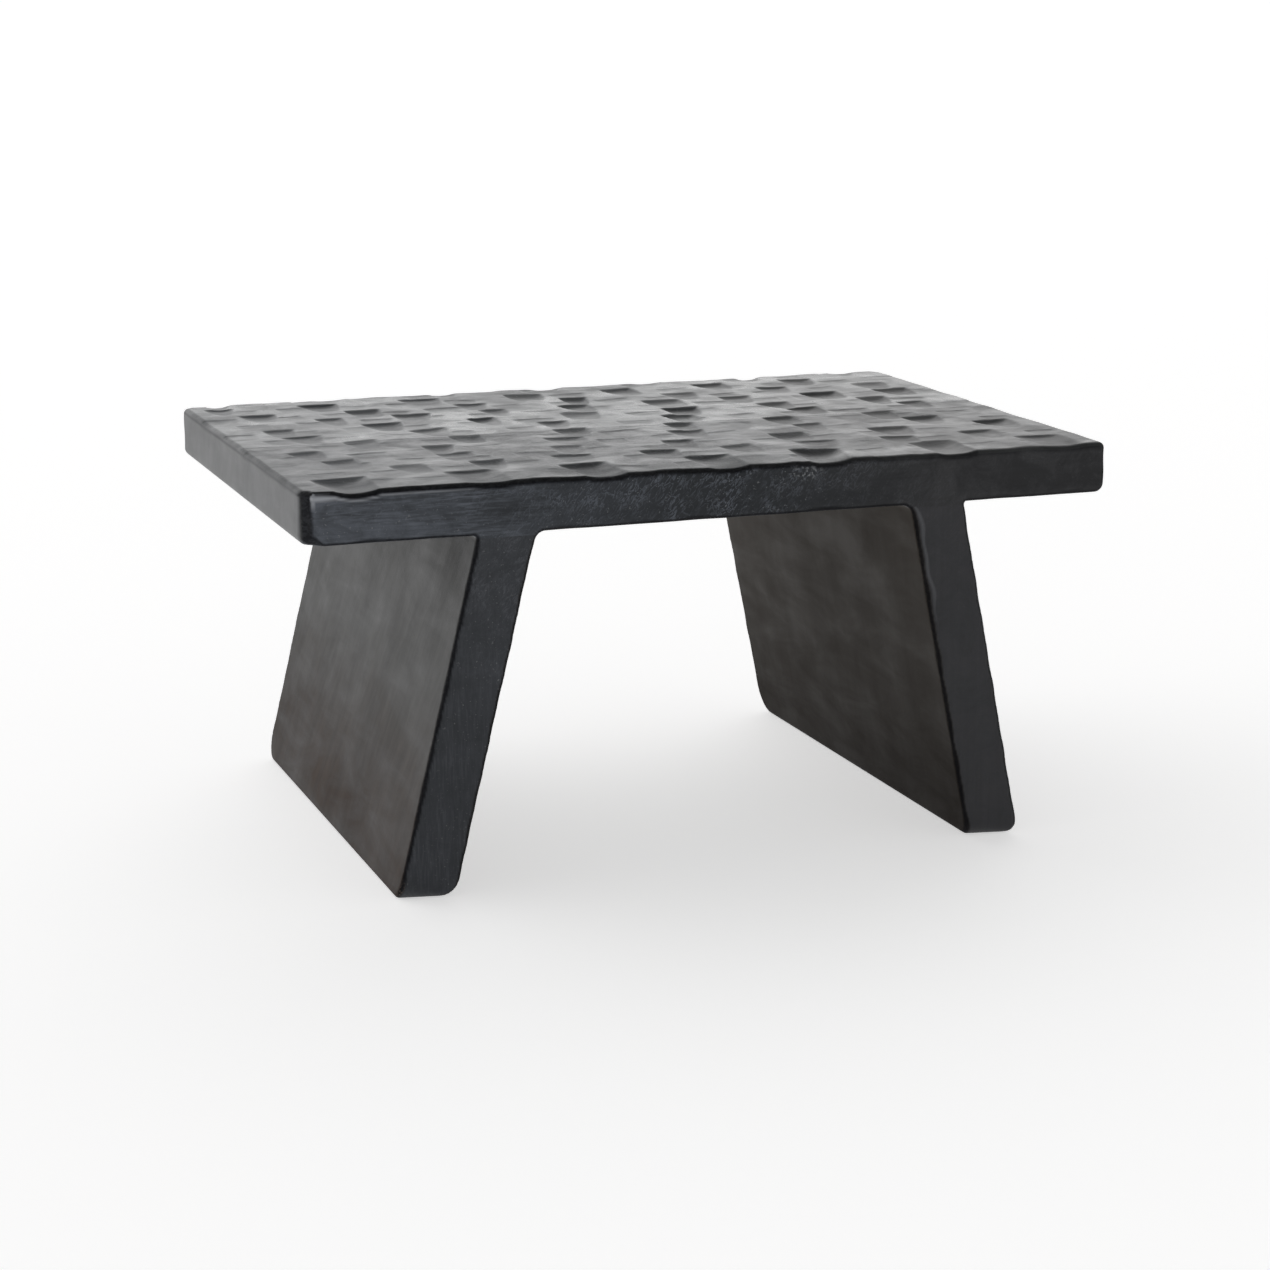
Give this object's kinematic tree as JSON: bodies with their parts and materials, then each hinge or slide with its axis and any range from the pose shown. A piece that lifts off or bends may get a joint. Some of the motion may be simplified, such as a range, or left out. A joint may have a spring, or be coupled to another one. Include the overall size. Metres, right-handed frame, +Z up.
{
  "type": "low stool",
  "caption": "Low blackened wooden stool: a thick rectangular seat with a hand-gouged top on wide slab legs that splay outward; for sitting, resting feet or as a small table.",
  "frame": {"origin": "on the floor under the middle of the seat", "axes": "+X along the seat to the right of the picture's view, +Y to the rear, +Z up; the front is at -Y"},
  "size_m": [0.5, 0.33, 0.242],
  "materials": {
    "blackened_wood": "black stain with a waxed satin sheen, brush and grain marks",
    "dowel_wood": "bare hardwood"
  },
  "bodies": {
    "root": {"seat_front_board": "blackened_wood", "seat_rear_board": "blackened_wood", "left_leg_front_board": "blackened_wood", "left_leg_rear_board": "blackened_wood", "right_leg_front_board": "blackened_wood", "right_leg_rear_board": "blackened_wood", "left_leg_dowels": "dowel_wood", "right_leg_dowels": "dowel_wood", "left_leg_tongue": "dowel_wood", "right_leg_tongue": "dowel_wood", "seat_tongue": "dowel_wood"}
  },
  "joints": []
}
